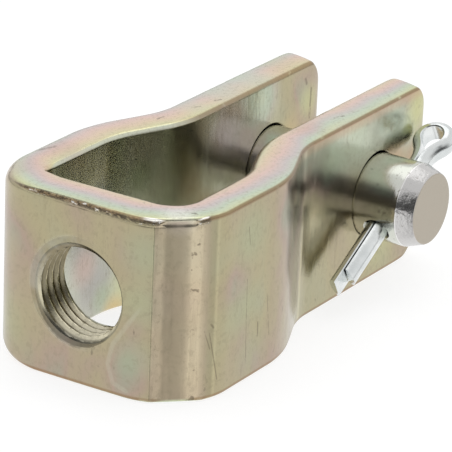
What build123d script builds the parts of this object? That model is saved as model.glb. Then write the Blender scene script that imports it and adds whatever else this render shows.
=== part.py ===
from build123d import *
from math import acos, cos, degrees, radians, sin, tan
import os

# Clevis rod end bent from one flat steel bar, with a headed clevis pin and a cotter pin.
# Frame: origin where the thread's axis meets the threaded face, X along the clevis pin
# towards the cotter pin, Y from the threaded face towards the ears, Z up. Millimetres.

# Strap: flat bar with rounded edges, bent to a U and joggled in to the two ears
bar_width = 30.0
bar_thickness = 7.5
bar_edge_radius = 2.0
fork_gap = 13.0
ear_inset = 5.6
strap_length = 79.8
corner_inner_radius = 4.0
joggle_start = 23.3
joggle_radius = 19.2
joggle_angle = 23.6
ear_upper_cut_length = 2.4
ear_upper_cut_depth = 3.3
ear_lower_cut = 4.4
ear_corner_blend = 2.5

# Threaded hole in the front wall, M16 x 1.5, modelled plain at its major diameter
thread_diameter = 16.0
thread_mouth_bevel = 0.4

# Clevis pin and the holes it turns in
pin_diameter = 14.0
pin_to_ear_end = 15.8
pin_hole_clearance = 0.2
pin_hole_bevel = 0.3
pin_drop = 0.1
pin_head_diameter = 22.0
pin_head_thickness = 4.0
pin_head_bevel = 0.8
pin_head_play = 0.3
pin_end_overhang = 10.6
pin_end_taper_length = 2.9
pin_end_taper_depth = 1.05

# Cotter pin: half-round wire, straight legs, one longer than the other
cotter_wire_diameter = 3.5
cotter_leg_gap = 0.2
cotter_hole_clearance = 0.15
cotter_hole_bevel = 0.3
cotter_eye_radius = 1.9
cotter_eye_reach = 13.5
cotter_neck_radius = 7.0
cotter_short_leg = 17.4
cotter_long_leg = 19.8
cotter_end_slant = 35.0
cotter_ear_clearance = 0.35
cotter_lean = 30.0

# Worked out from the sizes above
ear_inner_x = fork_gap / 2
ear_outer_x = ear_inner_x + bar_thickness
body_half_width = ear_outer_x + ear_inset
pin_radius = pin_diameter / 2
pin_axis_y = strap_length - pin_to_ear_end
pin_axis_z = -pin_drop
pin_hole_radius = pin_radius + pin_hole_clearance
pin_end_x = ear_outer_x + pin_end_overhang
pin_head_x = -(ear_outer_x + pin_head_play)
wire_radius = cotter_wire_diameter / 2
cotter_hole_radius = wire_radius + cotter_leg_gap / 2 + cotter_hole_clearance
cotter_x = ear_outer_x + cotter_ear_clearance + cotter_eye_radius + wire_radius

# How far each drill runs, well past both sides of what it goes through
bore_drill_length = 4 * bar_thickness
ear_drill_length = 4 * body_half_width
pin_drill_length = 2 * pin_diameter
radius_match = 0.01

# The cotter pin's own plane: its eye and legs lie in it, Y runs from the legs to the eye
cotter_plane = Plane(
    origin=(cotter_x, pin_axis_y, pin_axis_z),
    x_dir=(1, 0, 0),
    z_dir=(0, -sin(radians(cotter_lean)), cos(radians(cotter_lean))),
)


def leg_centre_line():
    """Half of the strap's centre line, from the middle of the front wall to the ear's end."""
    corner_radius = corner_inner_radius + bar_thickness / 2
    half_width = body_half_width - bar_thickness / 2
    front_y = bar_thickness / 2
    arc_step = joggle_radius * (1 - cos(radians(joggle_angle)))
    straight = (ear_inset - 2 * arc_step) / sin(radians(joggle_angle))
    front = Line((0, front_y), (half_width - corner_radius, front_y))
    corner = JernArc(front @ 1, front % 1, corner_radius, 90)
    side = Line(corner @ 1, (half_width, joggle_start))
    turn_in = JernArc(side @ 1, side % 1, joggle_radius, joggle_angle)
    slope = Line(turn_in @ 1, (turn_in @ 1) + straight * (turn_in % 1))
    turn_back = JernArc(slope @ 1, slope % 1, joggle_radius, -joggle_angle)
    ear = Line(turn_back @ 1, (half_width - ear_inset, strap_length))
    return Curve() + [front, corner, side, turn_in, slope, turn_back, ear]


def side_outline():
    """The strap seen along X: a rectangle with both corners of the ears cut off and blended."""
    half = bar_width / 2
    outline = Polyline(
        (0, -half),
        (strap_length - ear_lower_cut, -half),
        (strap_length, -half + ear_lower_cut),
        (strap_length, half - ear_upper_cut_depth),
        (strap_length - ear_upper_cut_length, half),
        (0, half),
        close=True,
    )
    face = make_face(outline)
    ear_corners = face.vertices().filter_by(lambda corner: corner.X > strap_length / 2)
    return fillet(ear_corners, ear_corner_blend)


def round_edges(solid, radius):
    """The solid's full or part circles of one radius."""
    circles = solid.edges().filter_by(GeomType.CIRCLE)
    return circles.filter_by(lambda edge: abs(edge.radius - radius) < radius_match)


def make_yoke():
    """One bent bar: front wall with the threaded hole, two legs, two ears with pin holes."""
    leg = leg_centre_line()
    strap_plan = trace(leg, bar_thickness) + trace(mirror(leg, Plane.YZ), bar_thickness)
    strap = extrude(strap_plan, bar_width / 2, both=True)
    side = extrude(Plane.YZ * side_outline(), body_half_width, both=True)
    strap = strap & side
    bend_seams = strap.edges().filter_by(Axis.Z).filter_by(lambda edge: edge.center().Y < pin_axis_y)
    ear_seams = strap.edges().filter_by(Axis.X).filter_by(lambda edge: edge.center().Y > pin_axis_y)
    strap = fillet(strap.edges() - bend_seams - ear_seams, bar_edge_radius)

    bore = Plane.XZ * Cylinder(thread_diameter / 2, bore_drill_length)
    strap = strap - bore
    strap = chamfer(round_edges(strap, thread_diameter / 2), thread_mouth_bevel)

    pin_hole = Plane.YZ * Pos(pin_axis_y, 0) * Cylinder(pin_hole_radius, ear_drill_length)
    strap = strap - pin_hole
    return chamfer(round_edges(strap, pin_hole_radius), pin_hole_bevel)


def make_clevis_pin():
    """Turned pin: flat head behind the far ear, tapered end, cross hole for the cotter pin."""
    head_outer_x = pin_head_x - pin_head_thickness
    head_radius = pin_head_diameter / 2
    taper_start_x = pin_end_x - pin_end_taper_length
    end_radius = pin_radius - pin_end_taper_depth
    half_section = Polyline(
        (head_outer_x, 0),
        (head_outer_x, head_radius - pin_head_bevel),
        (head_outer_x + pin_head_bevel, head_radius),
        (pin_head_x, head_radius),
        (pin_head_x, pin_radius),
        (taper_start_x, pin_radius),
        (pin_end_x, end_radius),
        (pin_end_x, 0),
        close=True,
    )
    pin = Pos(0, pin_axis_y, pin_axis_z) * revolve(make_face(half_section), Axis.X)
    cross_hole = cotter_plane * Rot(90, 0, 0) * Cylinder(cotter_hole_radius, pin_drill_length)
    pin = pin - cross_hole
    turned = (GeomType.CIRCLE, GeomType.LINE)
    hole_rims = pin.edges().filter_by(lambda edge: edge.geom_type not in turned)
    return chamfer(hole_rims, cotter_hole_bevel)


def cotter_wire_path():
    """The wire's flat side: up one leg, round the eye and down the other leg."""
    half_gap = cotter_leg_gap / 2
    reach = cotter_eye_radius + cotter_neck_radius
    neck_angle = degrees(acos((half_gap + cotter_neck_radius) / reach))
    neck_start = cotter_eye_reach - reach * sin(radians(neck_angle))
    uncut = cotter_long_leg + cotter_wire_diameter
    leg_up = Line((-half_gap, -uncut), (-half_gap, neck_start))
    neck_out = JernArc(leg_up @ 1, leg_up % 1, cotter_neck_radius, neck_angle)
    eye = JernArc(neck_out @ 1, neck_out % 1, cotter_eye_radius, -(180 + 2 * neck_angle))
    neck_in = JernArc(eye @ 1, eye % 1, cotter_neck_radius, neck_angle)
    leg_down = Line(neck_in @ 1, (half_gap, -uncut))
    return Wire([leg_up, neck_out, eye, neck_in, leg_down])


def leg_end_cutter(side, leg_length):
    """What lies past one leg's sheared end; the shear runs at a slant across the wire."""
    reach = side * 2 * cotter_wire_diameter
    middle = side * wire_radius / 2
    slope = tan(radians(cotter_end_slant))
    floor = -2 * cotter_long_leg
    outline = Polyline(
        (0, -leg_length + slope * middle),
        (reach, -leg_length + slope * (middle - reach)),
        (reach, floor),
        (0, floor),
        close=True,
    )
    return extrude(make_face(outline), cotter_wire_diameter, both=True)


def make_cotter_pin():
    """Half-round wire bent to an eye, its two flat sides facing each other in the legs."""
    path = cotter_wire_path()
    start = path @ 0
    half_round = make_face([
        Line((0, -wire_radius), (0, wire_radius)),
        ThreePointArc((0, wire_radius), (wire_radius, 0), (0, -wire_radius)),
    ])
    section = Plane(origin=start, x_dir=(-1, 0, 0), z_dir=(0, 1, 0)) * half_round
    wire = sweep(section, path=path)
    wire = wire - leg_end_cutter(1, cotter_short_leg) - leg_end_cutter(-1, cotter_long_leg)
    return cotter_plane * wire


pieces = {
    "yoke": make_yoke(),
    "clevis_pin": make_clevis_pin(),
    "cotter_pin": make_cotter_pin(),
}

os.makedirs("parts", exist_ok=True)
for name, piece in pieces.items():
    export_step(piece, f"parts/{name}.step")
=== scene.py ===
import math
from types import SimpleNamespace
import bmesh
import bpy
import numpy as np
from mathutils import Matrix


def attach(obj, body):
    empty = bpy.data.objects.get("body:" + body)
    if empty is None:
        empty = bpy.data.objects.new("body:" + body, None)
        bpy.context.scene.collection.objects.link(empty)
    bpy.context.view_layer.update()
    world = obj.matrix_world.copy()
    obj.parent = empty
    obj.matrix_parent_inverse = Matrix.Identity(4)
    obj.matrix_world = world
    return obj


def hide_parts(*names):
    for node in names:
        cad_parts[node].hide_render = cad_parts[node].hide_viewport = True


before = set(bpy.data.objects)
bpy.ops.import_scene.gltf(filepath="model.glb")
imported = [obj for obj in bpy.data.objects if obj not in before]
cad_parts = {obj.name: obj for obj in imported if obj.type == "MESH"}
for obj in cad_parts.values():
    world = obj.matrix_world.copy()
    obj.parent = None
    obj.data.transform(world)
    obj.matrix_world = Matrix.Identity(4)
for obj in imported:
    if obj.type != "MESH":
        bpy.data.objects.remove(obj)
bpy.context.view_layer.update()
MM = 0.001

# ---------------------------------------------------------------- sizes, in millimetres
BAR_WIDTH = 30.0
HALF_WIDTH = BAR_WIDTH / 2
BAR_THICKNESS = 7.5
HALF_BAR = BAR_THICKNESS / 2
HALF_BODY = 19.6
EAR_INSET = 5.6
STRAP_LENGTH = 79.8
INNER_BEND_RADIUS = 4.0
BEND_RADIUS = INNER_BEND_RADIUS + HALF_BAR
BEND_START = HALF_BODY - HALF_BAR - BEND_RADIUS
JOGGLE_START = 23.3
JOGGLE_RADIUS = 19.2
JOGGLE_ANGLE = math.radians(23.6)
EAR_OUTER_X = HALF_BODY - EAR_INSET
EAR_INNER_X = EAR_OUTER_X - BAR_THICKNESS

THREAD_RADIUS = 8.0
THREAD_PITCH = 1.5
THREAD_DEPTH = 0.82
THREAD_START = 0.35

PIN_RADIUS = 7.0
PIN_Y = 64.0
PIN_Z = -0.1
PIN_HOLE_RADIUS = 7.14
PIN_HOLE_BEVEL = 0.2
PIN_END_X = EAR_OUTER_X + 10.6
PIN_TAPER_LENGTH = 2.9
PIN_HEAD_X = -(EAR_OUTER_X + 0.3)
PIN_HEAD_THICKNESS = 4.0
PIN_HEAD_RADIUS = 11.0

WIRE_RADIUS = 1.75
COTTER_EYE_RADIUS = 1.9
COTTER_NECK_RADIUS = 7.0
COTTER_EAR_GAP = 0.35
COTTER_X = EAR_OUTER_X + COTTER_EAR_GAP + COTTER_EYE_RADIUS + WIRE_RADIUS
COTTER_LEAN = math.radians(30.0)
COTTER_NECK_END = 13.5
HALF_LEG_GAP = 0.1
LONG_LEG = 19.8
SHORT_LEG = 17.4
LEG_END_SLANT = math.tan(math.radians(24))


# ---------------------------------------------------------------- mesh helpers
def link(name, data):
    """A new object in the scene, at the origin."""
    item = bpy.data.objects.new(name, data)
    bpy.context.scene.collection.objects.link(item)
    return item


def mesh_piece(name, points, faces, material, smooth=True):
    """A new object from an array of points in millimetres and a list of faces."""
    mesh = bpy.data.meshes.new(name)
    mesh.from_pydata((np.asarray(points) * MM).tolist(), [], faces)
    mesh.validate()
    mesh.materials.append(material)
    mesh.polygons.foreach_set("use_smooth", np.full(len(mesh.polygons), smooth))
    mesh.update()
    return link(name, mesh)


def closed_tube(points):
    """A tube from a grid of rings (rows x columns x 3): quads join each ring to the next, and a
    fan to the middle of its ring closes each end."""
    rows, columns = points.shape[:2]
    middles = np.stack([points[0].mean(0), points[-1].mean(0)])
    flat = np.vstack([points.reshape(-1, 3), middles])
    here = np.arange(rows * columns).reshape(rows, columns)
    beside = np.roll(here, -1, 1)
    quads = np.stack([here[:-1], beside[:-1], beside[1:], here[1:]], -1).reshape(-1, 4)
    first = np.full(columns, rows * columns)
    fans = np.stack([first, beside[0], here[0], first + 1, here[-1], beside[-1]], -1).reshape(-1, 3)
    return flat, quads.tolist() + fans.tolist()


def outward(piece):
    """Recalculates a closed mesh's faces so that they all point out."""
    work = bmesh.new()
    work.from_mesh(piece.data)
    bmesh.ops.recalc_face_normals(work, faces=work.faces)
    work.to_mesh(piece.data)
    work.free()
    piece.data.update()


def carve(piece, cutter):
    """Takes the cutter's volume out of the piece and throws the cutter away."""
    outward(cutter)
    step = piece.modifiers.new("carve", "BOOLEAN")
    step.operation = "DIFFERENCE"
    step.solver = "EXACT"
    step.object = cutter
    carved = bpy.data.meshes.new_from_object(
        piece.evaluated_get(bpy.context.evaluated_depsgraph_get()))
    piece.modifiers.clear()
    piece.data = carved
    bpy.data.objects.remove(cutter)


def sharpen(piece, angle):
    """Smooth shading that breaks where two faces meet at more than the angle, in degrees."""
    piece.data.polygons.foreach_set("use_smooth", np.full(len(piece.data.polygons), True))
    work = bmesh.new()
    work.from_mesh(piece.data)
    limit = math.radians(angle)
    for edge in work.edges:
        edge.smooth = len(edge.link_faces) == 2 and edge.calc_face_angle(0) < limit
    work.to_mesh(piece.data)
    work.free()


def lathe_x(stations, radii, y, z, columns=160):
    """Rings round an axis along X through (y, z): ring i has radius radii[i] at x = stations[i],
    and each point is the cosine and the sine of its turn times that radius."""
    turn = np.linspace(0, 2 * np.pi, columns, endpoint=False)
    stations, radii = np.asarray(stations, float), np.asarray(radii, float)
    return np.stack([
        np.repeat(stations[:, None], columns, 1),
        y + radii[:, None] * np.cos(turn),
        z + radii[:, None] * np.sin(turn),
    ], -1)


def bent_line(straights, bends, step):
    """A flat line's points and headings: its heading is the sum of every bend passed so far,
    each bend growing evenly over its own arc, and its place is the running sum of the heading's
    cosine and sine. straights are lengths, bends are (radius, signed angle) between them."""
    knots, headings = [0.0], [0.0]
    for i, straight in enumerate(straights):
        knots.append(knots[-1] + straight)
        headings.append(headings[-1])
        if i < len(bends):
            radius, angle = bends[i]
            knots.append(knots[-1] + radius * abs(angle))
            headings.append(headings[-1] + angle)
    fine = np.linspace(0, knots[-1], int(knots[-1] / step) + 1)
    heading = np.interp(fine, knots, headings)
    middle = (heading[1:] + heading[:-1]) / 2
    gap = np.diff(fine)
    along = np.concatenate([[0], np.cumsum(np.cos(middle) * gap)])
    across = np.concatenate([[0], np.cumsum(np.sin(middle) * gap)])
    return fine, along, across, heading


# ---------------------------------------------------------------- node helpers
def nodes_of(name):
    """A new node material, its node tree and its principled shader."""
    material = bpy.data.materials.new(name)
    material.use_nodes = True
    tree = material.node_tree
    return material, tree, tree.nodes["Principled BSDF"]


def put(tree, value, socket):
    """Feeds a socket: another socket is linked to it; a number, colour or vector is set on it."""
    if isinstance(value, bpy.types.NodeSocket):
        tree.links.new(value, socket)
    elif socket.type == "RGBA":
        socket.default_value = (*value, 1)
    else:
        socket.default_value = value


def add(tree, kind, **settings):
    """A node of one kind; each setting is an input, by its name, or else a property."""
    node = tree.nodes.new(kind)
    for key, value in settings.items():
        if key in node.inputs:
            put(tree, value, node.inputs[key])
        else:
            setattr(node, key, value)
    return node


def noise(tree, vector, scale, detail=4.0, rough=0.55, stretch=None, distortion=0.0):
    """Noise on the vector, in features per metre, stretched by a factor on each axis."""
    if stretch is not None:
        vector = add(tree, "ShaderNodeMapping", Vector=vector, Scale=stretch).outputs["Vector"]
    node = add(tree, "ShaderNodeTexNoise", Vector=vector, Scale=scale, Detail=detail,
               Roughness=rough, Distortion=distortion)
    return node.outputs["Fac"]


def math_node(tree, operation, *values, clamp=False):
    """One step of arithmetic on numbers and sockets."""
    node = add(tree, "ShaderNodeMath", operation=operation, use_clamp=clamp)
    for socket, value in zip(node.inputs, values):
        put(tree, value, socket)
    return node.outputs[0]


def vector_node(tree, operation, *vectors, **others):
    """One step of vector arithmetic; the node's outputs."""
    node = add(tree, "ShaderNodeVectorMath", operation=operation, **others)
    for socket, value in zip(node.inputs, vectors):
        put(tree, value, socket)
    return node.outputs


def times(tree, first, *others):
    """The product of masks and numbers."""
    for other in others:
        first = math_node(tree, "MULTIPLY", first, other)
    return first


def brightest(tree, first, *others):
    """The greatest of several masks at each place."""
    for other in others:
        first = math_node(tree, "MAXIMUM", first, other)
    return first


def ramp(tree, factor, stops):
    """A colour ramp; stops are (place, colour) or (place, grey)."""
    node = add(tree, "ShaderNodeValToRGB", Fac=factor)
    elements = node.color_ramp.elements
    while len(elements) < len(stops):
        elements.new(0.5)
    for element, (place, colour) in zip(elements, stops):
        element.position = place
        element.color = (*colour, 1) if isinstance(colour, tuple) else (colour,) * 3 + (1,)
    return node.outputs["Color"]


def mix(tree, factor, a, b, blend="MIX"):
    """Colour a where the factor is 0 and colour b, or its blend over a, where it is 1."""
    node = add(tree, "ShaderNodeMix", data_type="RGBA", blend_type=blend)
    for socket, value in ((node.inputs[0], factor), (node.inputs[6], a), (node.inputs[7], b)):
        put(tree, value, socket)
    return node.outputs[2]


def tint(tree, colour, tone, *shares):
    """The colour with a tone laid over it, as strongly as the product of the shares."""
    return mix(tree, times(tree, *shares), colour, tone)


def bump(tree, height, distance, strength, normal=None):
    """A normal tilted by a height field, on top of another normal where one is given."""
    below = {} if normal is None else {"Normal": normal}
    node = add(tree, "ShaderNodeBump", Height=height, Strength=strength, Distance=distance, **below)
    return node.outputs["Normal"]


def between(tree, value, low, high):
    """0 below low, 1 above high and a smooth step between; low may be the greater."""
    span = {"Value": value, "From Min": low, "From Max": high}
    return add(tree, "ShaderNodeMapRange", interpolation_type="SMOOTHSTEP", **span).outputs[0]


def past(tree, value, low, high):
    """The same smooth step for a length, with its two places in millimetres."""
    return between(tree, value, low * MM, high * MM)


def band(tree, value, rise, fall):
    """1 along a stretch: a smooth step up over the first pair of places, in millimetres, times a
    smooth step down over the second."""
    return times(tree, past(tree, value, *rise), past(tree, value, *reversed(fall)))


def near(tree, place, centre, reach, core=0.0):
    """1 round a centre and 0 from the reach on, in millimetres; core is the share of the reach
    that is all 1."""
    gap = vector_node(tree, "DISTANCE", place, np.array(centre) * MM)["Value"]
    return past(tree, gap, reach, core * reach)


def length_of(tree, a, b):
    """The root of the sum of two squares."""
    return math_node(tree, "SQRT", math_node(tree, "ADD", times(tree, a, a), times(tree, b, b)))


def stroke(tree, place, start, end, width):
    """1 on the straight line between two points in millimetres, 0 from a width away: the distance
    to the line's nearest point, which is the offset's share of the line, held between 0 and 1."""
    start, end = np.array(start, float) * MM, np.array(end, float) * MM
    line = end - start
    offset = vector_node(tree, "SUBTRACT", place, start)[0]
    share = vector_node(tree, "DOT_PRODUCT", offset, line / (line @ line))["Value"]
    share = math_node(tree, "ADD", share, 0.0, clamp=True)
    nearest = vector_node(tree, "SCALE", line, Scale=share)[0]
    gap = vector_node(tree, "DISTANCE", offset, nearest)["Value"]
    return past(tree, gap, width, 0.35 * width)


# ---------------------------------------------------------------- tones of the finishes
# film thickness, thin to thick, and the colour it gives: grey, straw, gold, pink, lilac, green
FACE_COLOURS = [
    (0.02, (0.37, 0.40, 0.36)),
    (0.20, (0.43, 0.41, 0.27)),
    (0.36, (0.45, 0.40, 0.25)),
    (0.48, (0.44, 0.375, 0.25)),
    (0.58, (0.44, 0.345, 0.27)),
    (0.70, (0.38, 0.38, 0.29)),
    (0.84, (0.38, 0.43, 0.30)),
    (1.00, (0.50, 0.46, 0.25)),
]
# the rims run paler than the faces: the film's own bands, lifted by a painted sheen for the light
# they catch
RIM_COLOURS = [
    (0.02, (0.60, 0.67, 0.50)),
    (0.16, (0.74, 0.70, 0.40)),
    (0.30, (0.80, 0.61, 0.43)),
    (0.42, (0.79, 0.56, 0.50)),
    (0.54, (0.63, 0.56, 0.56)),
    (0.66, (0.57, 0.68, 0.53)),
    (0.80, (0.69, 0.73, 0.43)),
    (0.94, (0.80, 0.65, 0.43)),
]

# painted highlights and painted shade along the pin end's side, at the front bend and at the
# joggle,
# standing for reflections: places along the strap in millimetres and a grey level, where 0.5 leaves
# the colour as it is
BEND_PAINTED_SHEEN = [
    (10.0, 0.50), (11.1, 0.50), (11.25, 0.80), (11.9, 0.76), (12.6, 0.47), (13.8, 0.42),
    (14.7, 0.46), (15.2, 0.74), (16.3, 0.74), (16.8, 0.47), (17.8, 0.40), (18.1, 0.60),
    (18.5, 0.50), (36.0, 0.50), (40.0, 0.45), (46.0, 0.43), (48.8, 0.50), (49.6, 0.70),
    (50.4, 0.50), (60.0, 0.50),
]
TONE_REACH = 60.0

# film thickness: how far noise spreads it, its base on the faces and on the rims, what the fine
# drift adds, and what each metre across the bar adds on the rims
FILM_SPREAD = 1.3
FACE_BASE = -0.34
RIM_BASE = -0.20
FINE_SHARE = 0.22
RIM_GROWTH = 90.0

# a place in millimetres, the reach round it, and how much thicker or thinner the film is there
FILM_CLOUDS = [
    ((11.5, 0, 8), 8, 0.16),
    ((11.5, 0, 0), 8, 0.18),
    ((-13, 1, 7), 12, 0.16),
    ((-2, 0, 13), 7, 0.12),
    ((10, 0, -5), 7, 0.16),
    ((8.5, 0, -11), 7, 0.20),
    ((-14, 0, -8), 9, 0.10),
    ((16, 3, 2), 7, 0.14),
    ((19.6, 13, 2), 7, 0.34),
    ((19.6, 21, -4), 7, -0.14),
    ((18, 27, 9), 6, 0.14),
    ((14, 50, 9), 9, 0.30),
    ((14, 58, 13), 5, -0.18),
    ((14, 70, 11), 8, 0.30),
    ((14, 77, 10), 6, 0.12),
    ((14, 68, -11), 10, -0.16),
    ((-6.5, 68, 8), 6, -0.22),
    ((-6.5, 73, 10), 7, 0.20),
    ((-6.5, 61, 12), 8, 0.30),
    ((-9, 50, 7), 8, 0.12),
    ((-12, 32, 8), 9, 0.30),
]

# the torn line that shearing left under the front wall's top edge: places along the strap and its
# height there, in millimetres; the ramp that draws it spans so much of the strap and starts so high
SHEAR_RUN = [-20, -14, 10, 16, 18, 20]
SHEAR_LEVEL = [14.75, 14.75, 14.15, 14.10, 14.70, 14.75]
SHEAR_SPAN = 40.0
SHEAR_BASE = 14.0

# the thread's colours from its low side, which shines, to its high side, which is in the shade
BORE_COLOURS = [
    (0.0, (0.90, 0.85, 0.66)),
    (0.35, (0.80, 0.73, 0.50)),
    (0.6, (0.38, 0.33, 0.21)),
    (0.9, (0.24, 0.20, 0.13)),
]

# tones of the film and of the marks in it, and of painted shade and highlights
PALE_GREEN = (0.60, 0.67, 0.53)
GREEN = (0.40, 0.47, 0.31)
LILAC = (0.62, 0.52, 0.53)
STEEL = (0.34, 0.38, 0.40)
INSIDE_SHADE = (0.38, 0.36, 0.34)
OLIVE = (0.46, 0.43, 0.25)
ROSE = (0.60, 0.42, 0.36)
AMBER = (0.66, 0.50, 0.24)
LEMON = (0.62, 0.62, 0.30)
HIGHLIGHT_WHITE = (0.90, 0.88, 0.82)
RIM_PAINTED_SHEEN = (0.68, 0.64, 0.53)
GROOVE_SHADE = (0.10, 0.09, 0.06)
COOL_INSIDE = (0.62, 0.67, 0.60)
WARM_BEND = (0.49, 0.385, 0.30)
WORN_MOUTH = (0.60, 0.60, 0.53)
TARNISH = (0.26, 0.23, 0.15)
GRIME = (0.13, 0.11, 0.08)
EDGE_BROWN = (0.26, 0.14, 0.07)
INNER_BROWN = (0.28, 0.17, 0.08)
WARM_EDGE = (0.60, 0.42, 0.28)
DRIP_RIM = (0.60, 0.60, 0.48)
STREAK = (0.24, 0.20, 0.13)
NICK = (0.12, 0.09, 0.06)
TORN_METAL = (0.09, 0.07, 0.05)
# bare metal in the torn line's specks, and the painted highlight over its pressed part
BARE_METAL_AND_HIGHLIGHT = (0.95, 0.93, 0.88)

# tones of the turned pin, and how rough the finishes are, as greys
TAPER_ZINC = (0.62, 0.61, 0.60)
WORN_TAPER_EDGE = (0.92, 0.91, 0.89)
SAWN_END = (0.60, 0.55, 0.47)
PIT = (0.20, 0.18, 0.16)
BURNISHED_ROUGH = (0.48, 0.48, 0.48)
TURNED_ROUGH = (0.17, 0.17, 0.17)
SAWN_ROUGH = (0.62, 0.62, 0.62)

# stretches where the film shows one tone, and a few of painted shade and one painted highlight:
# centre and reach in millimetres, the tone, how much of it
PATCHES = [
    ((14, 54, 11), 9, PALE_GREEN, 0.75),
    ((14, 60, 10), 8, PALE_GREEN, 0.75),
    ((14, 67, 11), 7, PALE_GREEN, 0.75),
    ((14, 74, 9), 6, PALE_GREEN, 0.75),
    ((14, 77, 11), 6, LEMON, 0.75),
    ((14, 70, 4), 5, AMBER, 0.35),
    ((14, 66, -9), 7, LEMON, 0.30),
    ((14, 77, 2), 5, AMBER, 0.40),
    ((-6.5, 62, 11), 7, PALE_GREEN, 0.60),
    ((-6.5, 76, 8), 5, LEMON, 0.55),
    ((-6.5, 70, 3), 6, AMBER, 0.45),
    ((-7, 50, 9), 8, LILAC, 0.70),
    ((-7, 57, 4), 7, LILAC, 0.60),
    ((-10, 40, 4), 5, LILAC, 0.45),
    ((-8.5, 44, -2), 4, AMBER, 0.50),
    ((-12, 13, 6), 7, PALE_GREEN, 0.60),
    ((-12, 23.5, 6), 4, STEEL, 0.65),
    ((-12, 24, 0), 4, STEEL, 0.50),
    ((-11.3, 31.5, 7), 4.5, GREEN, 0.80),
    ((-11.3, 31.5, 0), 4.5, GREEN, 0.70),
    # painted shade low on the inside of the far side wall
    ((-12, 19, -1), 8, INSIDE_SHADE, 0.75),
    ((-12, 22, -9), 8, INSIDE_SHADE, 0.75),
    ((-12, 19, -5), 5, ROSE, 0.55),
    ((-12, 24, -12), 4, GREEN, 0.60),
    ((-12, 31, -11), 7, LEMON, 0.80),
    ((-12, 27, -15), 4, AMBER, 0.85),
    ((-11.5, 33, -15), 5, AMBER, 0.85),
    ((11.5, 0, 9), 6, GREEN, 0.45),
    ((11.5, 0, 1), 6, GREEN, 0.35),
    ((10, 0, -8), 5, GREEN, 0.45),
    ((-13, 0, -8), 10, OLIVE, 0.70),
    ((-15, 0, 3), 6, OLIVE, 0.45),
    ((19.6, 17, 9), 7, GREEN, 0.40),
    ((19.6, 15, -2), 7, GREEN, 0.40),
    ((19.6, 18, -11), 6, GREEN, 0.30),
    ((-16.5, 6, 15), 7, ROSE, 0.40),
    ((-14.5, 16, 15), 6, ROSE, 0.35),
    # a painted highlight on the top edge where the front bend starts
    ((14.5, 4.5, 15), 4, HIGHLIGHT_WHITE, 0.60),
    ((-10.5, 45, 15), 5, PALE_GREEN, 0.40),
    ((-10.5, 54, 15), 7, PALE_GREEN, 0.60),
    ((-10.5, 62, 15), 7, PALE_GREEN, 0.60),
    ((-10.5, 72, 15), 7, LEMON, 0.35),
    ((9.5, 48, 15), 5, ROSE, 0.40),
]

# fine dark scratches and nicks: two ends in millimetres and a width
SCRATCHES = [
    ((18.9, 7.4, -4.0), (19.35, 9.2, -12.0), 0.16),
    ((18.4, 6.6, -3.5), (18.9, 7.6, -6.6), 0.14),
    ((19.6, 16.4, 2.0), (19.6, 16.9, -12.0), 0.13),
    ((19.6, 22.4, -2.6), (19.6, 23.4, -9.5), 0.12),
    ((19.6, 20.0, -6.3), (19.6, 20.1, -8.8), 0.26),
    ((19.6, 16.3, 10.6), (19.6, 16.8, 7.6), 0.14),
    ((18.9, 7.7, -2.6), (19.1, 8.1, -3.2), 0.24),
    ((17.9, 5.6, 4.8), (18.1, 5.9, 4.2), 0.18),
    ((-10.9, 36.6, 15.0), (-10.7, 38.1, 15.0), 0.34),
    ((11.0, 54.9, 15.0), (11.5, 56.6, 14.9), 0.42),
    ((-8.5, 49.6, 15.0), (-8.1, 50.8, 15.0), 0.30),
    ((-9.3, 45.0, 15.0), (-8.9, 45.9, 15.0), 0.26),
    ((-17.6, 13.2, 15.0), (-16.3, 16.4, 15.0), 0.50),
    ((-6.5, 74.6, 12.2), (-6.5, 75.0, 11.4), 0.45),
    ((-6.5, 76.6, 10.5), (-6.5, 76.4, 5.0), 0.40),
]

# a drop of passivation that ran down the front and dried: points of its outline, x and z
DRIP_OUTLINE = [(12.6, 2.6), (9.2, -2.4), (6.4, -6.6), (5.6, -10.0), (6.6, -12.9), (9.0, -13.6)]


# ---------------------------------------------------------------- materials
def object_place(tree):
    """The place on the piece, in metres, and its parts x, y and z."""
    place = add(tree, "ShaderNodeTexCoord").outputs["Object"]
    return place, add(tree, "ShaderNodeSeparateXYZ", Vector=place).outputs


def strap_places(tree):
    """What the strap's patterns read: the place on the piece, how far along the strap, how far out
    from its centre line and how high, the distance from the bore's axis, and a few masks."""
    place, (x, y, _) = object_place(tree)
    strap = add(tree, "ShaderNodeAttribute", attribute_name="strap").outputs["Vector"]
    run, out, height = add(tree, "ShaderNodeSeparateXYZ", Vector=strap).outputs
    level = math_node(tree, "ABSOLUTE", height)
    rim = past(tree, level, HALF_WIDTH - 0.8, HALF_WIDTH - 0.2)
    return SimpleNamespace(
        place=place, y=y, strap=strap, run=run, out=out, height=height, level=level, rim=rim,
        ring=length_of(tree, x, height),
        face=math_node(tree, "SUBTRACT", 1.0, rim),
        low_left=times(tree, past(tree, y, 1.2, 0.8), past(tree, x, 5.0, -3.0)),
        fine_drift=noise(tree, strap, 260, 4, 0.6, (1, 1, 0.35)))


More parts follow.
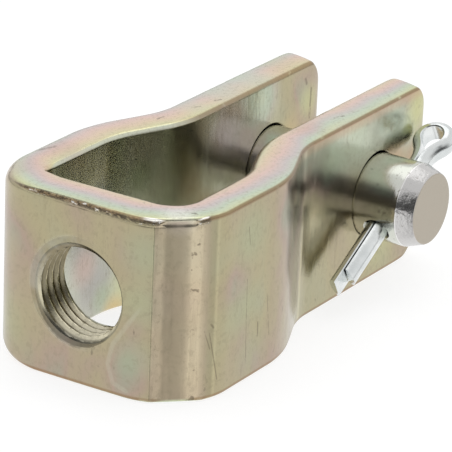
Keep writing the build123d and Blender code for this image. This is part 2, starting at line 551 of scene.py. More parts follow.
def film_colour(tree, at):
    """The film's colour. On the faces a ramp turns its thickness into colour: a slow drift, the
    clouds and a fine drift added up. On the rims the thickness grows across the bar instead, and
    their paler tones are partly painted sheen."""
    drift = noise(tree, at.strap, 42, 3, 0.5, (1, 1, 0.7), 0.5)
    film = math_node(tree, "MULTIPLY_ADD", drift, FILM_SPREAD, FACE_BASE)
    for centre, reach, change in FILM_CLOUDS:
        cloud = times(tree, near(tree, at.place, centre, reach), change)
        film = math_node(tree, "ADD", film, cloud)
    film = math_node(tree, "ADD", film, times(tree, at.fine_drift, FINE_SHARE))
    wander = noise(tree, at.strap, 60, 3, 0.5, (0.45, 0.4, 1))
    across = math_node(tree, "ADD", times(tree, at.out, RIM_GROWTH),
                       math_node(tree, "MULTIPLY_ADD", wander, FILM_SPREAD, RIM_BASE))
    # a paler tone over the rims, painted sheen
    rim_colour = tint(tree, ramp(tree, across, RIM_COLOURS), RIM_PAINTED_SHEEN, 0.15)
    return mix(tree, at.rim, ramp(tree, film, FACE_COLOURS), rim_colour)


def lay_bore(tree, at, colour):
    """The thread: its own ramp from low to high, painted light on its low side and painted shade on
    its high side, and painted shade deep in the grooves.
    """
    in_bore = times(tree, past(tree, at.ring, THREAD_RADIUS + 0.12, THREAD_RADIUS),
                    past(tree, at.y, BAR_THICKNESS + 0.7, BAR_THICKNESS + 0.1))
    from_below = math_node(tree, "MULTIPLY_ADD", at.height, 1 / (2 * THREAD_RADIUS * MM), 0.5)
    in_groove = past(tree, at.ring, THREAD_RADIUS - 0.45, THREAD_RADIUS - 0.1)
    # painted shade: the grooves darkened, and the bore lit from below and shaded above
    bore_colour = tint(tree, ramp(tree, from_below, BORE_COLOURS), GROOVE_SHADE, in_groove, 0.75)
    return tint(tree, colour, bore_colour, in_bore, 0.85)


def lay_patches(tree, at, colour):
    """A cooler tone inside the body, and then the patches of one tone, among them painted shade low
    inside the far side wall and a painted highlight on the top edge.
    """
    in_body = past(tree, math_node(tree, "ABSOLUTE", at.run), 74, 50)
    colour = tint(tree, colour, COOL_INSIDE, past(tree, at.out, -3.1, -3.5), in_body, 0.60)
    for centre, reach, tone, share in PATCHES:
        colour = tint(tree, colour, tone, near(tree, at.place, centre, reach, 0.1), share)
    return colour


def lay_bend_and_painted_sheen(tree, at, colour):
    """The pressed bend: a warmer tone outside, and painted highlights and painted shade in bands
    that follow it and the joggle, standing for reflections."""
    along = {"Value": at.run, "From Max": TONE_REACH * MM}
    share = add(tree, "ShaderNodeMapRange", **along).outputs[0]
    stripes = ramp(tree, share, [(place / TONE_REACH, grey) for place, grey in BEND_PAINTED_SHEEN])
    bend = times(tree, band(tree, at.run, (11.1, 11.3), (16.8, 18.0)), at.face)
    colour = tint(tree, colour, WARM_BEND, bend, past(tree, at.out, 0.0, 1.0), 0.45)
    # painted light: lighter and darker bands of reflection laid over the colour
    return mix(tree, times(tree, at.face, 0.8), colour, stripes, "OVERLAY")


def lay_grime(tree, at, colour):
    """The bore's mouth worn pale low on the left, fine tarnish, and specks of grime."""
    mouth = past(tree, at.ring, THREAD_RADIUS + 1.6, THREAD_RADIUS + 0.7)
    patchy = between(tree, noise(tree, at.strap, 200, 3, 0.6), 0.35, 0.6)
    colour = tint(tree, colour, WORN_MOUTH, mouth, at.low_left, patchy, 0.35)
    mottle = noise(tree, at.strap, 1700, 3, 0.7, (1, 1, 0.6))
    colour = tint(tree, colour, TARNISH, between(tree, mottle, 0.50, 0.34), 0.22)
    specks = noise(tree, at.strap, 900, 5, 0.7, (1, 1, 0.4))
    return tint(tree, colour, GRIME, between(tree, specks, 0.36, 0.26), 0.5)


def corner_line(tree, at, out, level, faint, full):
    """1 along the section's corner at that place out and up, by the distance from it."""
    gap = length_of(tree, math_node(tree, "SUBTRACT", at.out, out * MM),
                    math_node(tree, "SUBTRACT", at.level, level * MM))
    return past(tree, gap, faint, full)


def lay_edges(tree, at, colour):
    """Broken brown lines along the outer edges and along the inner edge of the far ear, and a
    warm stretch under the near ear's top edge."""
    broken = between(tree, noise(tree, at.strap, 330, 3, 0.6), 0.15, 0.42)
    outer = corner_line(tree, at, HALF_BAR - 0.13, HALF_WIDTH - 0.38, 0.55, 0.15)
    colour = tint(tree, colour, EDGE_BROWN, outer, broken, 0.75)
    inner = times(tree, corner_line(tree, at, 0.25 - HALF_BAR, HALF_WIDTH - 0.34, 0.60, 0.20),
                  past(tree, at.run, -46, -54))
    colour = tint(tree, colour, INNER_BROWN, inner, broken, 0.7)
    below = times(tree, band(tree, at.height, (12.4, 14.0), (14.3, 14.7)),
                  past(tree, at.out, 3.3, 3.5), past(tree, at.run, 30, 44))
    return tint(tree, colour, WARM_EDGE, below, 0.5)


def lay_marks(tree, at, colour):
    """The dried drip, faint upright streaks, a column of ticks down the bend, and scratches."""
    drip = brightest(tree, *[
        stroke(tree, at.place, (x0, 0, z0), (x1, 0, z1), 0.55)
        for (x0, z0), (x1, z1) in zip(DRIP_OUTLINE, DRIP_OUTLINE[1:])])
    colour = tint(tree, colour, DRIP_RIM, drip, 0.22)
    streaks = noise(tree, at.strap, 700, 4, 0.65, (1, 1, 0.08))
    colour = tint(tree, colour, STREAK, between(tree, streaks, 0.42, 0.28), 0.18)
    ticks = between(tree, noise(tree, at.strap, 900, 2, 0.5, (1.0, 1, 0.8)), 0.40, 0.33)
    ticks = times(tree, ticks, band(tree, at.run, (14.9, 15.3), (15.9, 16.3)))
    colour = tint(tree, colour, NICK, ticks, 0.60)
    scratches = brightest(tree, *[stroke(tree, at.place, *scratch) for scratch in SCRATCHES])
    ragged = between(tree, noise(tree, at.strap, 1100, 3, 0.6), 0.32, 0.50)
    return tint(tree, colour, NICK, scratches, ragged, 0.5)


def shear_line(tree, at):
    """The torn line's height at each place: a ramp whose grey is its millimetres over the base."""
    share = math_node(tree, "MULTIPLY_ADD", at.run, 1 / (SHEAR_SPAN * MM), 0.5)
    grey = ramp(tree, share, [(run / SHEAR_SPAN + 0.5, level - SHEAR_BASE)
                              for run, level in zip(SHEAR_RUN, SHEAR_LEVEL)])
    return math_node(tree, "MULTIPLY_ADD", grey, MM, SHEAR_BASE * MM)


def lay_tear(tree, at, colour):
    """The torn line along the front, dark and bright by turns. Towards the pin end's side it is
    pressed to a thin dark line, with a painted highlight along the edge over it. The tear's height
    is given too."""
    front = times(tree, band(tree, at.run, (-15.5, -13.5), (16.5, 18.0)),
                  past(tree, at.out, 3.2, 3.4))
    pressed = times(tree, front, past(tree, at.run, 9.5, 11.0))
    over = math_node(tree, "SUBTRACT", at.height, shear_line(tree, at))
    gap = math_node(tree, "ABSOLUTE", over)
    torn = noise(tree, at.strap, 1500, 3, 0.7, (0.6, 1, 1))
    shear = times(tree, front, past(tree, gap, 0.62, 0.15))
    dark = brightest(tree, times(tree, shear, between(tree, torn, 0.56, 0.44)),
                     times(tree, pressed, past(tree, gap, 0.30, 0.10)))
    # the pressed part's bright edge is a painted highlight; the torn line's bright specks are bare
    # metal
    bright = brightest(tree, times(tree, shear, between(tree, torn, 0.60, 0.66)),
                       times(tree, pressed, past(tree, over, 0.25, 0.45)))
    colour = tint(tree, colour, TORN_METAL, dark, 0.85)
    return tint(tree, colour, BARE_METAL_AND_HIGHLIGHT, bright), times(tree, shear, torn)


def yellow_zinc():
    """Zinc with a glossy yellow chromate film. The film's thickness drifts from place to place,
    and straw, pink, lilac and green follow it; wear, dirt and marks lie over it in layers."""
    material, tree, shader = nodes_of("yellow_zinc")
    at = strap_places(tree)
    colour = film_colour(tree, at)
    for lay in (lay_bore, lay_patches, lay_bend_and_painted_sheen, lay_grime, lay_edges, lay_marks):
        colour = lay(tree, at, colour)
    colour, tear_height = lay_tear(tree, at, colour)
    put(tree, colour, shader.inputs["Base Color"])
    shader.inputs["Metallic"].default_value = 1.0

    rough = ramp(tree, at.fine_drift, [(0.3, 0.17), (0.7, 0.27)])
    ring_in = (THREAD_RADIUS + 0.02, THREAD_RADIUS + 0.10)
    ring_out = (THREAD_RADIUS + 0.9, THREAD_RADIUS + 1.2)
    burnished = times(tree, band(tree, at.ring, ring_in, ring_out), at.low_left)
    put(tree, tint(tree, rough, BURNISHED_ROUGH, burnished), shader.inputs["Roughness"])
    normal = bump(tree, noise(tree, at.place, 2600, 3, 0.6), 0.00002, 0.04)
    swell = noise(tree, at.strap, 150, 3, 0.5, (1.2, 1.2, 0.5))
    normal = bump(tree, swell, 0.0005, 0.3, normal)
    normal = bump(tree, tear_height, 0.0006, 0.9, normal)
    put(tree, normal, shader.inputs["Normal"])
    return material


def clear_zinc():
    """Bright zinc on the turned pin: its taper pitted, the taper's edge worn bright, and its sawn
    end matt."""
    material, tree, shader = nodes_of("clear_zinc")
    place, (x, _, _) = object_place(tree)
    end = past(tree, x, PIN_END_X - 0.10, PIN_END_X - 0.03)
    taper_x = PIN_END_X - PIN_TAPER_LENGTH
    taper = past(tree, x, taper_x - 0.2, taper_x + 0.1)
    drift = noise(tree, place, 90, 3, 0.5)
    specks = noise(tree, place, 1500, 3, 0.6)
    film = ramp(tree, drift, [(0.35, (0.67, 0.69, 0.62)), (0.65, (0.70, 0.69, 0.66))])
    film = tint(tree, film, TAPER_ZINC, taper)
    from_edge = math_node(tree, "SUBTRACT", x, (taper_x + 0.05) * MM)
    from_edge = math_node(tree, "ABSOLUTE", from_edge)
    film = tint(tree, film, WORN_TAPER_EDGE, past(tree, from_edge, 0.14, 0.04), 0.6)
    film = tint(tree, film, SAWN_END, end)
    turned_part = math_node(tree, "SUBTRACT", 1.0, end)
    film = tint(tree, film, PIT, between(tree, specks, 0.40, 0.28), 0.5, turned_part)
    put(tree, film, shader.inputs["Base Color"])
    shader.inputs["Metallic"].default_value = 1.0
    put(tree, mix(tree, end, TURNED_ROUGH, SAWN_ROUGH), shader.inputs["Roughness"])
    turned = noise(tree, place, 900, 3, 0.6, (3.0, 0.3, 0.3))
    normal = bump(tree, turned, 0.00002, 0.4)
    normal = bump(tree, times(tree, specks, taper), 0.00012, 0.5, normal)
    put(tree, normal, shader.inputs["Normal"])
    return material


def bright_wire():
    """Drawn wire with bright zinc, a little uneven in tone and surface."""
    material, tree, shader = nodes_of("bright_wire")
    place, _ = object_place(tree)
    drift = noise(tree, place, 300, 3, 0.5)
    film = ramp(tree, drift, [(0.35, (0.70, 0.73, 0.73)), (0.65, (0.85, 0.87, 0.86))])
    put(tree, film, shader.inputs["Base Color"])
    shader.inputs["Metallic"].default_value = 1.0
    shader.inputs["Roughness"].default_value = 0.2
    put(tree, bump(tree, drift, 0.0002, 0.4), shader.inputs["Normal"])
    return material


YELLOW_ZINC = yellow_zinc()
CLEAR_ZINC = clear_zinc()
BRIGHT_WIRE = bright_wire()


# ---------------------------------------------------------------- yoke
UPPER_CUT_LENGTH = 2.7
UPPER_CUT_DEPTH = 4.4
LOWER_CUT = 4.4
LOWER_CUT_SOFTNESS = 0.5
LOWER_TIP_LENGTH = 1.2
LOWER_TIP_DEPTH = 1.4

# the radius of the section's edges at places along the strap
OUTER_EDGE = ([-16, -8, 100], [2.4, 0.5, 0.55])
INNER_EDGE = ([-16, -8, 8, 16], [0.8, 1.6, 1.6, 2.4])

# the ears' last stretch, where the stations crowd by a power and the faces draw in
END_ZONE = 3.6
END_CROWDING = 1.7
END_ROLL_LENGTH = 3.4
END_ROLL_DEPTH = 0.75

# the rims are a little crowned, and more so towards the ears' ends
RIM_CROWN = 0.15
END_CROWN = 0.35
END_CROWN_LENGTH = 6.0
CROWN_FADE = 3.0

# the ears' upper corners are cut less on one face and more on the other
UNEVEN_LENGTH = 0.9
UNEVEN_DEPTH = 1.6
UNEVEN_FADE_FROM = -5.0

# the groove along the torn line, and the slow unevenness of the rolled faces
TEAR_DEPTH = 0.22
TEAR_DROP = 0.1
TEAR_WIDTH = 0.42
TEAR_REACH = ([-17, -12, 16, 18], [0, 1, 1, 0])
RIPPLE_DEPTH = 0.06

# the press flattened the bend on the pin end's side: the middle and half of the flat, as angles,
# and how much of the full chord it reached
FLAT_MIDDLE = math.radians(43.5)
FLAT_HALF = math.radians(20.5)
FLAT_SHARE = 0.85
CREASE_HALF = 0.03

# the other bend is nearly sharp inside
SHARP_RADIUS = 1.0


def round_drop(distance, length, depth):
    """How far an outline has fallen at a distance from the end: a quarter of an ellipse."""
    return depth * (1 - np.sqrt(1 - np.clip(1 - distance / length, 0, 1)**2))


def slant_drop(distance, cut):
    """The fall of a 45 degree cut that starts gently, a smooth maximum of the slope and zero,
    and whose last stretch turns down in a quarter of an ellipse."""
    slope = LOWER_CUT_SOFTNESS * np.logaddexp(0, (cut - distance) / LOWER_CUT_SOFTNESS)
    tip = round_drop(distance, LOWER_TIP_LENGTH, LOWER_TIP_DEPTH)
    return np.where(distance > 2 * cut, 0, slope) + tip


def strap_path():
    """The centre line of one half of the strap and its heading, every twentieth of a millimetre."""
    arc_step = JOGGLE_RADIUS * (1 - math.cos(JOGGLE_ANGLE))
    slope = (EAR_INSET - 2 * arc_step) / math.sin(JOGGLE_ANGLE)
    joggle_length = 2 * JOGGLE_RADIUS * math.sin(JOGGLE_ANGLE) + slope * math.cos(JOGGLE_ANGLE)
    straights = [
        BEND_START,
        JOGGLE_START - HALF_BAR - BEND_RADIUS,
        slope,
        STRAP_LENGTH - JOGGLE_START - joggle_length,
    ]
    bends = [
        (BEND_RADIUS, math.pi / 2),
        (JOGGLE_RADIUS, JOGGLE_ANGLE),
        (JOGGLE_RADIUS, -JOGGLE_ANGLE),
    ]
    fine, along, across, heading = bent_line(straights, bends, 0.05)
    return fine, along, HALF_BAR + across, heading


def strap_stations(total):
    """Places along the strap, from its middle both ways: evenly spaced, crowding by a power of the
    distance left at the ears' ends, with a close pair at the crease beside the pressed flat."""
    near_end = total - END_ZONE * np.linspace(1, 0, 30)**END_CROWDING
    run = np.concatenate([np.linspace(0, total - END_ZONE, 200)[:-1], near_end])
    crease = BEND_START + BEND_RADIUS * (FLAT_MIDDLE - FLAT_HALF)
    pair = [crease - CREASE_HALF, crease + CREASE_HALF]
    return np.unique(np.concatenate([-run[:0:-1], run, pair]))


def strap_section(run, distance, top, bottom):
    """How far out and how high the section's points are at each station: four quarter circles,
    one for each edge, joined by straight stretches across the rims and down the faces."""
    roll = round_drop(distance, END_ROLL_LENGTH, END_ROLL_DEPTH)[:, None]
    outer = np.interp(run, *OUTER_EDGE)[:, None]
    inner = np.interp(run, *INNER_EDGE)[:, None]
    arc = np.linspace(0, np.pi / 2, 10)
    face_steps = (1 - np.cos(np.linspace(0, np.pi, 48)[1:-1])) / 2
    rim_steps = np.linspace(0, 1, 12)[1:-1]
    arcs = []
    for side, rise, edge, turn in (
            (1, 1, outer, arc), (-1, 1, inner, arc[::-1]),
            (-1, -1, inner, arc), (1, -1, outer, arc[::-1])):
        rim = top if rise > 0 else bottom
        arcs.append((side * (HALF_BAR - roll - edge * (1 - np.cos(turn))),
                     rim - rise * edge * (1 - np.sin(turn))))
    outs, heights = [], []
    for (out, height), (next_out, next_height), steps in zip(
            arcs, arcs[1:] + arcs[:1], (rim_steps, face_steps) * 2):
        outs += [out, out[:, -1:] + (next_out[:, :1] - out[:, -1:]) * steps]
        heights += [height, height[:, -1:] + (next_height[:, :1] - height[:, -1:]) * steps]
    return np.concatenate(outs, 1), np.concatenate(heights, 1)


def worn_heights(out, height, sign, distance, top, bottom):
    """The heights once the rims fall off as the square of the distance from their middle, and the
    ears' upper corners are cut by an ellipse that grows from one face to the other."""
    crown = RIM_CROWN + END_CROWN * np.clip(1 - distance / END_CROWN_LENGTH, 0, 1)**2
    crown = crown * (out / HALF_BAR)**2
    height = height - crown * np.clip((height - top + CROWN_FADE) / CROWN_FADE, 0, 1)
    height = height + 0.5 * crown * np.clip((bottom + CROWN_FADE - height) / CROWN_FADE, 0, 1)
    towards_x = sign * out / HALF_BAR
    uneven = round_drop(distance, UPPER_CUT_LENGTH + UNEVEN_LENGTH * towards_x,
                        UPPER_CUT_DEPTH + UNEVEN_DEPTH * towards_x)
    uneven = uneven - round_drop(distance, UPPER_CUT_LENGTH, UPPER_CUT_DEPTH)
    return height - uneven * np.clip((height - UNEVEN_FADE_FROM) / (top - UNEVEN_FADE_FROM), 0, 1)


def ripple(run, height):
    """A slow unevenness between 0 and 1: three crossed waves of the run and the height."""
    wave = np.sin(run * 0.31 + height * 0.12) + np.sin(run * 0.17 - height * 0.23 + 1.7)
    wave = wave + 0.5 * np.sin(run * 0.83 + height * 0.41 + 0.6)
    return 0.5 + wave / 5


def tear_groove(run, height):
    """The torn line's depth: a bell curve of the height round the line, ragged along it."""
    level = np.interp(run, SHEAR_RUN, SHEAR_LEVEL)
    groove = np.exp(-((height - level + TEAR_DROP) / TEAR_WIDTH)**2) * np.interp(run, *TEAR_REACH)
    return TEAR_DEPTH * groove * (0.5 + 0.5 * ripple(run * 7.3, run * 3.1))


def pressed_flat(run):
    """How far the pressed flat lies under the bend's round outside: the gap between an arc and its
    chord, by the angle from the flat's middle."""
    angle = (run - BEND_START) / BEND_RADIUS - FLAT_MIDDLE
    angle = np.clip(angle, -FLAT_HALF, FLAT_HALF)
    outer_radius = BEND_RADIUS + HALF_BAR
    return FLAT_SHARE * outer_radius * (1 - math.cos(FLAT_HALF) / np.cos(angle))


def sharp_inside(run):
    """How far the sharp bend's inside lies past the arc of the inner radius, by the angle round
    the arc's middle: out to the flat wall, and near the corner to a small arc that rounds it."""
    inset = INNER_BEND_RADIUS - SHARP_RADIUS
    angle = np.clip((-run - BEND_START) / BEND_RADIUS, 0, math.pi / 2)
    fold = np.minimum(angle, math.pi / 2 - angle)
    middle = inset * (np.cos(angle) + np.sin(angle))
    to_arc = middle + np.sqrt(np.maximum(SHARP_RADIUS**2 - 2 * inset**2 + middle**2, 0))
    to_wall = INNER_BEND_RADIUS / np.cos(fold)
    on_wall = fold < math.atan(inset / INNER_BEND_RADIUS)
    return np.where(on_wall, to_wall, to_arc) - INNER_BEND_RADIUS


def yoke_piece():
    """The strap: its section carried along the bent centre line, from ear to ear. Each point is
    the line's point plus the section's distance out along the line's normal."""
    fine, path_x, path_y, heading = strap_path()
    run = strap_stations(fine[-1])[:, None]
    sign = np.where(run < 0, -1.0, 1.0)
    reach = np.abs(run)
    turn = np.interp(reach, fine, heading)
    distance = fine[-1] - reach
    top = HALF_WIDTH - round_drop(distance, UPPER_CUT_LENGTH, UPPER_CUT_DEPTH)
    bottom = -HALF_WIDTH + slant_drop(distance, LOWER_CUT)

    out, height = strap_section(run[:, 0], distance[:, 0], top, bottom)
    height = worn_heights(out, height, sign, distance, top, bottom)
    out = out - np.where(out > 0, 1, 0) * tear_groove(run, height)
    out = out - np.sign(out) * RIPPLE_DEPTH * ripple(run, height)
    out = out - pressed_flat(run) * np.clip(out / HALF_BAR, 0, 1)
    out = out + sharp_inside(run) * np.clip(-out / HALF_BAR, 0, 1)

    x = sign * (np.interp(reach, fine, path_x) + np.sin(turn) * out)
    y = np.interp(reach, fine, path_y) - np.cos(turn) * out
    flat, faces = closed_tube(np.stack([x, y, height], -1))
    yoke = mesh_piece("yoke_body", flat, faces, YELLOW_ZINC)
    outward(yoke)
    return yoke


def lay_strap_coordinates(piece):
    """A vector on every vertex: how far it lies along the strap from the middle of the front
    wall, how far out from the centre line, and its height, in metres. The nearest point of the
    centre line, of those every 0.3 mm, gives the first two."""
    fine, path_x, path_y, heading = (values[::6] for values in strap_path())
    places = np.empty(len(piece.data.vertices) * 3)
    piece.data.vertices.foreach_get("co", places)
    places = places.reshape(-1, 3) / MM
    side = np.where(places[:, 0] < 0, -1.0, 1.0)
    gap_x = np.abs(places[:, :1]) - path_x
    gap_y = places[:, 1:2] - path_y
    nearest = np.argmin(gap_x**2 + gap_y**2, 1)
    rows = np.arange(len(places))
    turn = heading[nearest]
    out = gap_x[rows, nearest] * np.sin(turn) - gap_y[rows, nearest] * np.cos(turn)
    strap = np.stack([side * fine[nearest], out, places[:, 2]], 1) * MM
    layer = piece.data.attributes.new("strap", "FLOAT_VECTOR", "POINT")
    layer.data.foreach_set("vector", strap.astype(np.float32).ravel())


def threaded_cutter():
    """What the tap took out: at depth y and turn t round the bore, the radius is the major radius
    less the thread's triangle wave of y over the pitch plus t over a full turn. A cone opens it
    at each mouth, and the front one is worn wider to one side, as a squared cosine of t."""
    crest_share, flank_share, root_room = 0.12, 0.70, 0.02
    worn_least, worn_most, worn_towards, mouth_slope = 0.06, 0.75, math.radians(250), 2.6
    back_bevel, back_slope = 0.15, 1.8
    overrun, past_face = 1.5, 0.6
    depth = np.concatenate([
        [-overrun], np.linspace(-past_face, BAR_THICKNESS + past_face, 150),
        [BAR_THICKNESS + overrun]])
    turn = np.linspace(0, 2 * np.pi, 180, endpoint=False)
    y, t = np.meshgrid(depth, turn, indexing="ij")
    phase = ((y - THREAD_START) / THREAD_PITCH + t / (2 * np.pi)) % 1.0
    wave = np.clip((np.abs(phase * 2 - 1) - crest_share) / flank_share, 0, 1)
    thread = THREAD_RADIUS + root_room - THREAD_DEPTH * (1 - wave)
    worn = worn_least + worn_most * np.clip(np.cos(t - worn_towards), 0, 1)**2
    mouth = THREAD_RADIUS + worn - np.clip(y, 0, None) * mouth_slope
    back = THREAD_RADIUS + back_bevel - np.clip(BAR_THICKNESS - y, 0, None) * back_slope
    radius = np.maximum(thread, np.maximum(mouth, back))
    flat, faces = closed_tube(np.stack([radius * np.cos(t), y, radius * np.sin(t)], -1))
    return mesh_piece("tap", flat, faces, YELLOW_ZINC)


def hole_cutter():
    """The pin hole's drill: a cylinder along X, wider by the bevel outside each ear's faces."""
    wide, bevel = PIN_HOLE_RADIUS + PIN_HOLE_BEVEL, PIN_HOLE_BEVEL
    reach = 1.5 * HALF_BODY
    stations, radii = [-reach], [wide]
    for low, high in ((-EAR_OUTER_X, -EAR_INNER_X), (EAR_INNER_X, EAR_OUTER_X)):
        stations += [low - bevel, low, low + bevel, high - bevel, high, high + bevel]
        radii += [wide, wide, PIN_HOLE_RADIUS, PIN_HOLE_RADIUS, wide, wide]
    stations.append(reach)
    radii.append(wide)
    flat, faces = closed_tube(lathe_x(stations, radii, PIN_Y, 0))
    return mesh_piece("drill", flat, faces, YELLOW_ZINC)


yoke = yoke_piece()
carve(yoke, threaded_cutter())
carve(yoke, hole_cutter())
sharpen(yoke, 28)
lay_strap_coordinates(yoke)
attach(yoke, "yoke")
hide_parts("yoke")


# ---------------------------------------------------------------- clevis pin
def cotter_frame(points):
    """Points given in the cotter pin's own plane (x across, y along it, z out of it) put in place:
    leaned by a turn about X and moved to where the pin crosses the clevis pin."""
    c, s = math.cos(COTTER_LEAN), math.sin(COTTER_LEAN)
    x, y, z = points[..., 0], points[..., 1], points[..., 2]
    return np.stack([COTTER_X + x, PIN_Y + c * y - s * z, PIN_Z + s * y + c * z], -1)


def pin_piece():
    """The turned pin: a profile of radius against x carried round its axis. The head has a small
    bevel outside, the shaft is straight, and the end tapers to a broken edge."""
    head_out = PIN_HEAD_X - PIN_HEAD_THICKNESS
    taper_x = PIN_END_X - PIN_TAPER_LENGTH
    head = [
        (head_out, PIN_HEAD_RADIUS - 7.0),
        (head_out, PIN_HEAD_RADIUS - 1.4),
        (head_out + 0.1, PIN_HEAD_RADIUS - 0.95),
        (head_out + 0.75, PIN_HEAD_RADIUS - 0.1),
        (head_out + 1.0, PIN_HEAD_RADIUS),
        (PIN_HEAD_X - 0.25, PIN_HEAD_RADIUS),
        (PIN_HEAD_X, PIN_HEAD_RADIUS - 0.2),
        (PIN_HEAD_X, PIN_RADIUS + 0.2),
        (PIN_HEAD_X + 0.15, PIN_RADIUS),
    ]
    shaft = [(x, PIN_RADIUS) for x in np.linspace(PIN_HEAD_X + 1.3, taper_x - 0.12, 40)]
    end = [
        (taper_x - 0.02, PIN_RADIUS - 0.02),
        (taper_x + 0.12, PIN_RADIUS - 0.08),
        (PIN_END_X - 0.3, PIN_RADIUS - 0.94),
        (PIN_END_X - 0.08, PIN_RADIUS - 1.08),
        (PIN_END_X, PIN_RADIUS - 1.25),
        (PIN_END_X, PIN_RADIUS - 4.0),
    ]
    stations, radii = np.array(head + shaft + end).T
    flat, faces = closed_tube(lathe_x(stations, radii, PIN_Y, PIN_Z))
    pin = mesh_piece("clevis_pin_body", flat, faces, CLEAR_ZINC)
    outward(pin)
    return pin


def cross_drill():
    """The cotter pin's hole through the clevis pin: rings round the cotter pin's length, wider
    where they come out of the pin."""
    radius = WIRE_RADIUS + HALF_LEG_GAP + 0.15
    flares = [(-9.0, 0.9), (-7.0, 0.35), (-6.5, 0.0), (6.5, 0.0), (7.0, 0.35), (9.0, 0.9)]
    turn = np.linspace(0, 2 * np.pi, 64, endpoint=False)
    levels, wider = np.array(flares).T[:, :, None]
    ring = radius + wider
    points = np.stack([ring * np.cos(turn), levels + 0 * turn, ring * np.sin(turn)], -1)
    flat, faces = closed_tube(cotter_frame(points))
    return mesh_piece("cross_drill", flat, faces, CLEAR_ZINC)


pin = pin_piece()
carve(pin, cross_drill())
sharpen(pin, 25)
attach(pin, "clevis_pin")
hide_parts("clevis_pin")


# ---------------------------------------------------------------- cotter pin
def half_round(edge=0.16, shrink=0.996):
    """The wire's section: half an ellipse, hardly narrower than it is deep, and a flat back whose
    two corners are broken by the edge."""
    arc = np.linspace(-np.pi / 2, np.pi / 2, 25)
    out = WIRE_RADIUS * np.cos(arc)
    out[0] = out[-1] = edge
    wide = shrink * WIRE_RADIUS * np.sin(arc)
    back = np.linspace(WIRE_RADIUS - edge, edge - WIRE_RADIUS, 8)
    return np.concatenate([out, 0 * back]), np.concatenate([wide, back])


def cotter_piece():
    """Half-round wire: its section carried up one leg, round the neck, the eye and the neck again
    and down the other leg. Each leg ends in a plane cut across it on a slant."""
    reach = COTTER_EYE_RADIUS + COTTER_NECK_RADIUS
    neck_angle = math.acos((HALF_LEG_GAP + COTTER_NECK_RADIUS) / reach)
    neck_start = COTTER_NECK_END - reach * math.sin(neck_angle)
    up, down = LONG_LEG + neck_start, SHORT_LEG + neck_start
    neck = (COTTER_NECK_RADIUS, neck_angle)
    eye = (COTTER_EYE_RADIUS, -(math.pi + 2 * neck_angle))
    fine, along, across, heading = bent_line([up, 0, 0, down], [neck, eye, neck], 0.02)
    total = fine[-1]
    run = np.concatenate([
        np.linspace(0, up - 0.5, 40)[:-1],
        np.linspace(up - 0.5, total - down + 0.5, 110)[:-1],
        np.linspace(total - down + 0.5, total, 40),
    ])[:, None]
    turn = np.interp(run, fine, heading)
    out, wide = half_round()
    x = -HALF_LEG_GAP - np.interp(run, fine, across) - np.cos(turn) * out
    y = -LONG_LEG + np.interp(run, fine, along) - np.sin(turn) * out
    middle = HALF_LEG_GAP + WIRE_RADIUS / 2
    y[0] = -LONG_LEG - LEG_END_SLANT * (x[0] + middle)
    y[-1] = -SHORT_LEG - LEG_END_SLANT * (x[-1] - middle)
    flat, faces = closed_tube(cotter_frame(np.stack([x, y, wide + 0 * x], -1)))
    cotter = mesh_piece("cotter_pin_wire", flat, faces, BRIGHT_WIRE)
    outward(cotter)
    return cotter


cotter = cotter_piece()
sharpen(cotter, 40)
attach(cotter, "cotter_pin")
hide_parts("cotter_pin")


# ---------------------------------------------------------------- floor, light and camera
FLOOR_GREY = 0.34
FLOOR_GLOW = 0.78
FLOOR_HALF = 900.0

# brightness of the surroundings by lift, which is 0 straight down, 0.5 level and 1 straight up
PALE_SIDES = [(0.470, 1.0), (0.490, 0.35), (0.515, 0.35), (0.540, 0.90), (0.72, 0.92), (1.00, 0.80)]
DARK_ROOM = [(0.455, 1.0), (0.480, 0.10), (0.64, 0.08), (0.74, 0.60), (0.86, 0.80), (1.00, 0.80)]
SHADE = [(0.10, 0.70), (0.30, 0.45), (0.46, 0.30), (0.50, 0.08), (0.78, 0.08), (0.90, 0.80)]

# the dark room and the deeper shade in it: the azimuth, how many degrees to each side it is full,
# and beyond how many there is none
ROOM_SIDE = (20, 45, 95)
SHADE_SIDE = (36, 9, 18)

CAMERA_AZIMUTH = math.radians(31.988)
CAMERA_ELEVATION = math.radians(21.834)
CAMERA_ROLL = math.radians(2.426)
CAMERA_TARGET = np.array([0, 30.0, 0])
TARGET_IN_VIEW = np.array([-5.884, 1.382, 533.41])
FOCAL_PIXELS = 3391.66
PICTURE_PIXELS = 452
SENSOR_WIDTH = 36.0


def white_stage():
    """A floor that is white to the eye and keeps a faint shadow; a reflection looks through it
    to the white surroundings below."""
    material, tree, shader = nodes_of("paper_white")
    shader.inputs["Base Color"].default_value = (FLOOR_GREY, FLOOR_GREY, FLOOR_GREY, 1)
    shader.inputs["Roughness"].default_value = 0.9
    shader.inputs["Specular IOR Level"].default_value = 0.0
    place, _ = object_place(tree)
    put(tree, bump(tree, noise(tree, place, 300, 3, 0.5), 0.0002, 0.05), shader.inputs["Normal"])
    path = add(tree, "ShaderNodeLightPath").outputs
    shader.inputs["Emission Color"].default_value = (1, 1, 1, 1)
    put(tree, times(tree, path["Is Camera Ray"], FLOOR_GLOW), shader.inputs["Emission Strength"])
    reflected = brightest(tree, path["Is Glossy Ray"], path["Is Transmission Ray"])
    either = add(tree, "ShaderNodeMixShader", Fac=reflected)
    put(tree, shader.outputs[0], either.inputs[1])
    put(tree, add(tree, "ShaderNodeBsdfTransparent").outputs[0], either.inputs[2])
    put(tree, either.outputs[0], tree.nodes["Material Output"].inputs["Surface"])
    half = FLOOR_HALF
    corners = [(x, y, -HALF_WIDTH) for x, y in
               ((-half, -half), (half, -half), (half, half), (-half, half))]
    mesh_piece("floor", corners, [(0, 1, 2, 3)], material, smooth=False)


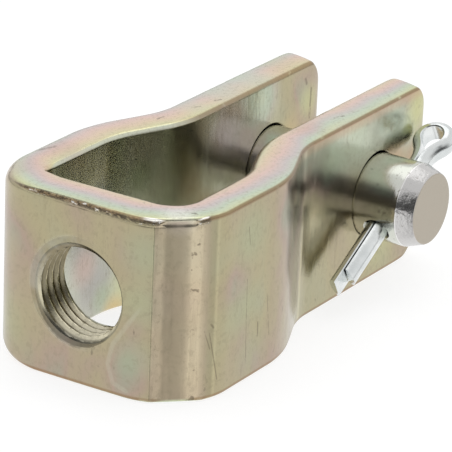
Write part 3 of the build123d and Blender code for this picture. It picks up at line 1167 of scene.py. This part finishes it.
def stand(item, right, up, back, place):
    """Puts an object at a place in metres with its X, Y and Z axes along three directions."""
    turn = Matrix([[*right, 0], [*up, 0], [*back, 0], [0, 0, 0, 1]]).transposed()
    turn.translation = place
    item.matrix_world = turn


def lamp(name, place, target, size, power):
    """A square soft light aimed at a point: its back points from the target to its place."""
    data = bpy.data.lights.new(name, "AREA")
    data.size = size
    data.energy = power
    place, target = np.array(place, float), np.array(target, float)
    back = (place - target) / np.linalg.norm(place - target)
    right = np.cross((0, 0.001, 1), back)
    right /= np.linalg.norm(right)
    stand(link(name, data), right, np.cross(back, right), back, place)


def facing(tree, flat, azimuth, full, none):
    """1 where a flat direction is within full degrees of the azimuth, 0 beyond none degrees;
    azimuths turn from -Y towards +X."""
    turn = math.radians(azimuth)
    towards = (math.sin(turn), -math.cos(turn), 0)
    cosine = vector_node(tree, "DOT_PRODUCT", flat, towards)["Value"]
    return between(tree, cosine, math.cos(math.radians(none)), math.cos(math.radians(full)))


def world_light():
    """Surroundings as in a small studio: white below, pale above and behind, and a dark room
    past the table on the camera's side; white where the eye sees past the object."""
    world = bpy.data.worlds.new("studio")
    world.use_nodes = True
    tree = world.node_tree
    direction = add(tree, "ShaderNodeTexCoord").outputs["Generated"]
    up = add(tree, "ShaderNodeSeparateXYZ", Vector=direction).outputs["Z"]
    lift = math_node(tree, "MULTIPLY_ADD", up, 0.5, 0.5)
    flat = vector_node(tree, "NORMALIZE", vector_node(tree, "MULTIPLY", direction, (1, 1, 0))[0])[0]
    light = mix(tree, facing(tree, flat, *ROOM_SIDE), ramp(tree, lift, PALE_SIDES),
                ramp(tree, lift, DARK_ROOM))
    light = mix(tree, facing(tree, flat, *SHADE_SIDE), light, ramp(tree, lift, SHADE))
    seen = add(tree, "ShaderNodeLightPath").outputs["Is Camera Ray"]
    put(tree, mix(tree, seen, light, (1.0, 1.0, 1.0)), tree.nodes["Background"].inputs["Color"])
    bpy.context.scene.world = world


def camera():
    """Looks at the rod end from the thread's side, right of it and a little above. The view's
    axes come from the azimuth and elevation and are then rolled; the place is the target less
    where the target lies in the view."""
    c, s = math.cos(CAMERA_AZIMUTH), math.sin(CAMERA_AZIMUTH)
    level, drop = math.cos(CAMERA_ELEVATION), math.sin(CAMERA_ELEVATION)
    right = np.array([c, s, 0])
    ahead = np.array([-s * level, c * level, -drop])
    down = -np.cross(right, ahead)
    c, s = math.cos(CAMERA_ROLL), math.sin(CAMERA_ROLL)
    right, down = c * right - s * down, s * right + c * down
    place = CAMERA_TARGET - np.stack([right, down, ahead], 1) @ TARGET_IN_VIEW
    data = bpy.data.cameras.new("camera")
    data.sensor_width = SENSOR_WIDTH
    data.lens = FOCAL_PIXELS / PICTURE_PIXELS * SENSOR_WIDTH
    data.clip_start, data.clip_end = 0.01, 20
    eye = link("camera", data)
    stand(eye, right, -down, -ahead, place * MM)
    bpy.context.scene.camera = eye


white_stage()
world_light()
lamp("overhead", (-0.15, 0.35, 0.8), (0, 0.03, 0), 0.7, 0.8)
camera()
bpy.context.scene.view_settings.view_transform = "Standard"
